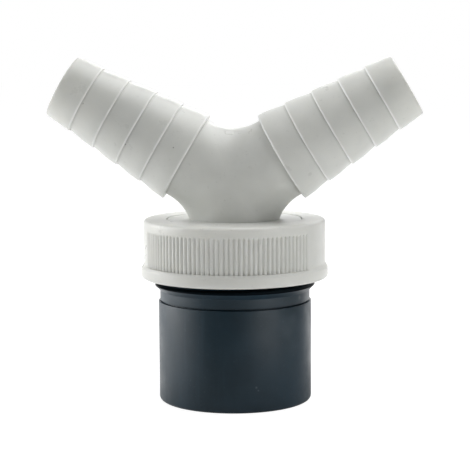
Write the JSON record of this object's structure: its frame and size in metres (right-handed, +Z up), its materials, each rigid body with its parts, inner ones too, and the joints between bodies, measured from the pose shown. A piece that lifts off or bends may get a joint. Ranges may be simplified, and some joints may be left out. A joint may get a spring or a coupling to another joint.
{
  "type": "double appliance drain connector",
  "caption": "Y-shaped barbed hose tail held by a ribbed union nut on a threaded spigot, joining appliance drain hoses to a waste pipe.",
  "frame": {"origin": "centre of the spigot's open lower end, on the surface that the part stands on", "axes": "+Z up along the spigot, +X along the spread of the two arms, +Y away from the viewer"},
  "size_m": [0.0976, 0.0488, 0.0897],
  "materials": {
    "grey_pvc": "satin",
    "black_rubber": "matte",
    "white_plastic": "satin"
  },
  "bodies": {
    "spigot": {"threaded_spigot": "grey_pvc"},
    "washer": {"sealing_washer": "black_rubber"},
    "nut": {"union_nut": "white_plastic"},
    "tail": {"twin_hose_tail": "white_plastic"}
  },
  "joints": [
    {"name": "union_lift", "type": "slide", "parent": "spigot", "child": "washer", "axis": [0, 0, 1], "range_m": [0, 0.0083]},
    {"name": "nut_turn", "type": "hinge", "parent": "washer", "child": "nut", "pos_m": [0, 0, 0.04005], "axis": [0, 0, 1], "range_deg": [0, 1294]},
    {"name": "tail_swivel", "type": "hinge", "parent": "washer", "child": "tail", "pos_m": [0, 0, 0.0566], "axis": [0, 0, 1], "continuous": true}
  ],
  "couplings": [
    {"joint": "union_lift", "follows": "nut_turn", "m_per_rad": 0.00036749}
  ]
}
